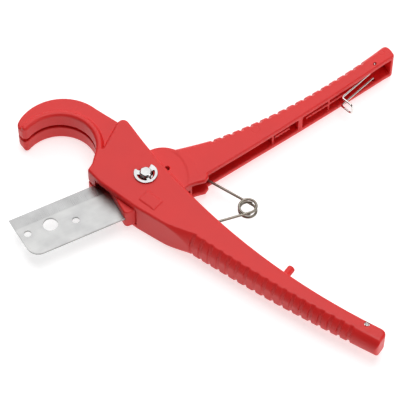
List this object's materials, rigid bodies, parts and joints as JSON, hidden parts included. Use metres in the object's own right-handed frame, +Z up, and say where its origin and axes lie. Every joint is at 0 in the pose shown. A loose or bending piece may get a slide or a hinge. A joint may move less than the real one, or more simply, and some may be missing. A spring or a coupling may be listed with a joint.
{
  "type": "pipe cutter",
  "caption": "Ratchet-free plastic pipe cutter with hooked jaw, ribbed handles, spring-opened lever, reversible blade and wire latch.",
  "frame": {"origin": "centre of the pivot pin's head, on the underside that the cutter lies on", "axes": "+X along the main handle away from the hook, +Y towards the open lever, +Z up through the thickness along the pivot"},
  "size_m": [0.2098, 0.1965, 0.0206],
  "materials": {
    "red_nylon": "satin moulded",
    "blade_steel": "ground",
    "plated_steel": "bright plated",
    "spring_steel": "drawn wire"
  },
  "bodies": {
    "frame": {"main_frame": "red_nylon", "pivot_pin": "plated_steel", "pivot_e_clip": "plated_steel", "latch_catch_pin": "plated_steel"},
    "lever": {"lever_handle": "red_nylon", "cutting_blade": "blade_steel", "blade_pin_front": "plated_steel", "blade_pin_rear": "plated_steel"},
    "spring_main_half": {"spring_main_arm": "spring_steel"},
    "spring_lever_half": {"spring_lever_arm": "spring_steel"},
    "latch": {"latch_wire": "plated_steel"}
  },
  "joints": [
    {"name": "lever_pivot", "type": "hinge", "parent": "frame", "child": "lever", "pos_m": [0, 0, 0.0093], "axis": [0, 0, -1], "range_deg": [0, 60], "stiffness_Nm_per_rad": 0.12, "springref_deg": -34.38},
    {"name": "spring_main_foot", "type": "hinge", "parent": "frame", "child": "spring_main_half", "pos_m": [0.0314, -0.0033, 0.0093], "axis": [0, 0, -1], "range_deg": [0, 60.5]},
    {"name": "spring_lever_foot", "type": "hinge", "parent": "lever", "child": "spring_lever_half", "pos_m": [0.016, 0.0198, 0.0093], "axis": [0, 0, -1], "range_deg": [-60.5, 0]},
    {"name": "latch_pivot", "type": "hinge", "parent": "lever", "child": "latch", "pos_m": [0.05352, 0.1191, 0.0093], "axis": [0, 0, 1], "range_deg": [0, 63.2]}
  ],
  "couplings": [
    {"joint": "spring_main_foot", "follows": "lever_pivot", "ratio": 1},
    {"joint": "spring_lever_foot", "follows": "lever_pivot", "ratio": -1}
  ]
}
